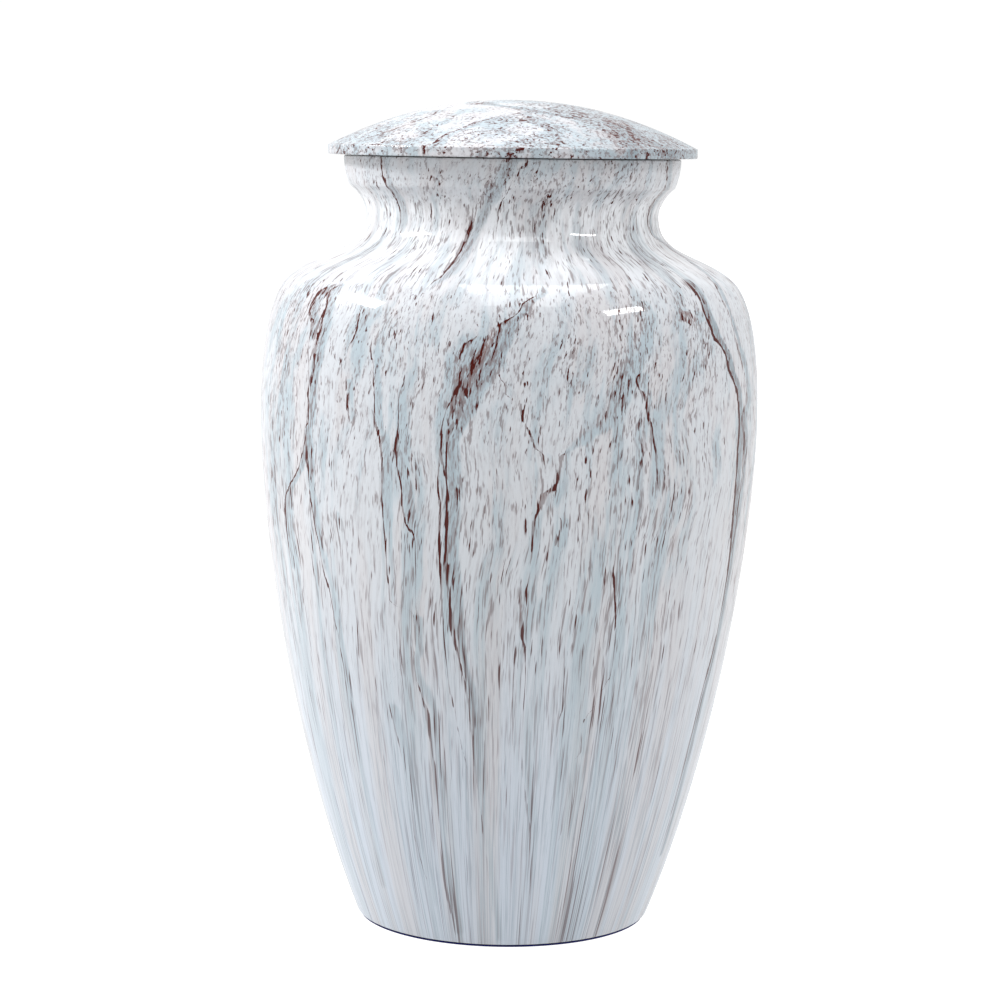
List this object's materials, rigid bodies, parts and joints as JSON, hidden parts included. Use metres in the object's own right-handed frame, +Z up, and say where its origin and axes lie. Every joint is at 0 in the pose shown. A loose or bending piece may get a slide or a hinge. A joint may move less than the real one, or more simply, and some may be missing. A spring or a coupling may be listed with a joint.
{
  "type": "cremation urn",
  "caption": "Vase-shaped cast aluminium cremation urn with a marble-print gloss finish, a flared collar, a shallow domed lift-off lid and a felt pad under the foot.",
  "frame": {"origin": "centre of the underside, on the surface that the urn stands on", "axes": "+Z up along the axis that the urn is turned about, from the foot towards the lid"},
  "size_m": [0.1572, 0.1572, 0.2597],
  "materials": {
    "marbled_enamel": "pale blue-white marble print with maroon and grey flecks under a clear gloss coat",
    "navy_felt": "short-pile navy felt"
  },
  "bodies": {
    "root": {"urn_body": "marbled_enamel", "urn_lid": "marbled_enamel", "felt_pad": "navy_felt"}
  },
  "joints": []
}
